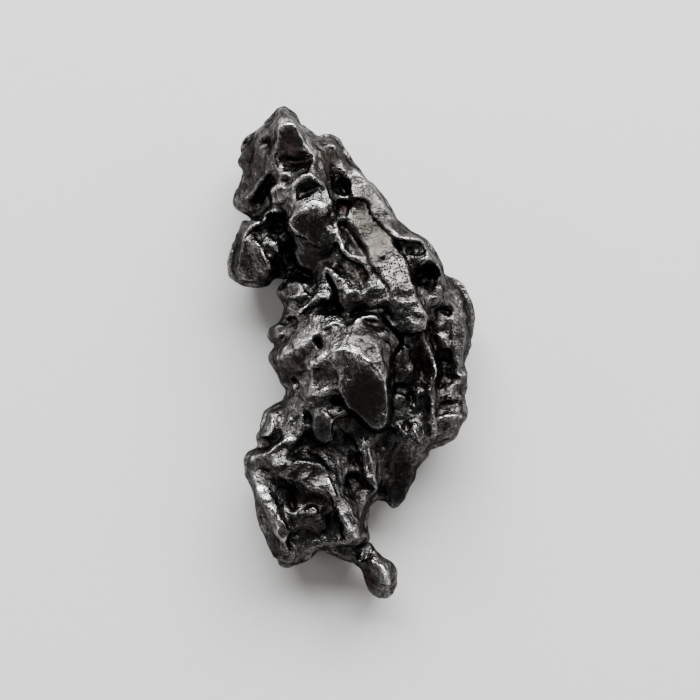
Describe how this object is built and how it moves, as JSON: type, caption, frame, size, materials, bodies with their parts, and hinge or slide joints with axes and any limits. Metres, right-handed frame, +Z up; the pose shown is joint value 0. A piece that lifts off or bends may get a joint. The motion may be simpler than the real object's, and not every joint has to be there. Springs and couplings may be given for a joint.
{
  "type": "iron meteorite fragment",
  "caption": "Torn, knotted fragment of meteoritic iron, dented all over, with sharp worn crests and a thin tail, lying on worn feet.",
  "frame": {"origin": "centre of the bounding box in plan, on the plane that the worn feet stand on", "axes": "+Y along the long axis toward the pointed head, +Z up from the feet, +X toward the flat slab side"},
  "size_m": [0.0268, 0.0544, 0.02],
  "materials": {
    "iron": "natural nickel-iron, dark brown-grey in the hollows and polished bright on the crests, rough to the touch"
  },
  "bodies": {
    "root": {"meteorite": "iron"}
  },
  "joints": []
}
